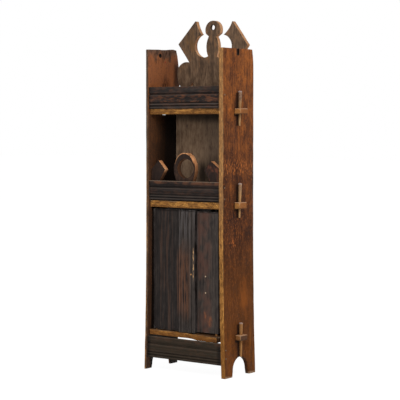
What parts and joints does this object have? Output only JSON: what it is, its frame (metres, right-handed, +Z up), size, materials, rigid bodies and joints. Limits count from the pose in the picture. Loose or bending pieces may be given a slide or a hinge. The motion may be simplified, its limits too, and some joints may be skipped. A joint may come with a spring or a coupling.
{
  "type": "tall plank cupboard",
  "caption": "Tall narrow knock-down plank cupboard with wedged through tenons, reeded rails, fretted crest and fret board, open shelves and pin-hung doors below.",
  "frame": {"origin": "on the floor below the middle of the case, half way between the tenon ends and between the front and back edges of the sides", "axes": "+X to the right as seen from the front, +Y to the back, +Z up"},
  "size_m": [0.573, 0.262, 1.801],
  "materials": {
    "side_wood": "worn red-brown stain, satin",
    "shelf_wood": "bare ochre edge, hand worn",
    "dark_wood": "near-black stain rubbed through on the arrises",
    "back_wood": "grey-brown, dry",
    "key_wood": "tan, unstained",
    "iron": "dark wrought nail head"
  },
  "bodies": {
    "case": {"left_side": "side_wood", "right_side": "side_wood", "top_shelf": "shelf_wood", "middle_shelf": "shelf_wood", "bottom_shelf": "shelf_wood", "back_board": "back_wood", "top_rail": "dark_wood", "middle_rail": "dark_wood", "bottom_rail": "dark_wood", "fret_board": "dark_wood", "door_stop": "dark_wood", "left_rail_nails": "iron", "right_rail_nails": "iron", "back_nails": "iron", "stop_nails": "iron"},
    "left_door": {"left_door_board": "dark_wood", "left_door_strip": "dark_wood", "left_door_lower_batten": "dark_wood", "left_door_upper_batten": "dark_wood", "left_door_pins": "dark_wood", "strip_nails": "iron", "batten_nails": "iron"},
    "right_door": {"right_door_board": "dark_wood", "right_door_pins": "dark_wood"},
    "top_left_key_body": {"top_left_key": "key_wood"},
    "top_right_key_body": {"top_right_key": "key_wood"},
    "middle_left_key_body": {"middle_left_key": "key_wood"},
    "middle_right_key_body": {"middle_right_key": "key_wood"},
    "bottom_left_key_body": {"bottom_left_key": "key_wood"},
    "bottom_right_key_body": {"bottom_right_key": "key_wood"}
  },
  "joints": [
    {"name": "left_door_hinge", "type": "hinge", "parent": "case", "child": "left_door", "pos_m": [-0.202, -0.092, 0.5235], "axis": [0, 0, -1], "range_deg": [0, 110]},
    {"name": "right_door_hinge", "type": "hinge", "parent": "case", "child": "right_door", "pos_m": [0.182, -0.092, 0.523], "axis": [0, 0, 1], "range_deg": [0, 110]},
    {"name": "top_left_key_lift", "type": "slide", "parent": "case", "child": "top_left_key_body", "axis": [0, 0, 1], "range_m": [0, 0.11]},
    {"name": "top_right_key_lift", "type": "slide", "parent": "case", "child": "top_right_key_body", "axis": [0, 0, 1], "range_m": [0, 0.11]},
    {"name": "middle_left_key_lift", "type": "slide", "parent": "case", "child": "middle_left_key_body", "axis": [0, 0, 1], "range_m": [0, 0.11]},
    {"name": "middle_right_key_lift", "type": "slide", "parent": "case", "child": "middle_right_key_body", "axis": [0, 0, 1], "range_m": [0, 0.11]},
    {"name": "bottom_left_key_lift", "type": "slide", "parent": "case", "child": "bottom_left_key_body", "axis": [0, 0, 1], "range_m": [0, 0.11]},
    {"name": "bottom_right_key_lift", "type": "slide", "parent": "case", "child": "bottom_right_key_body", "axis": [0, 0, 1], "range_m": [0, 0.11]}
  ]
}
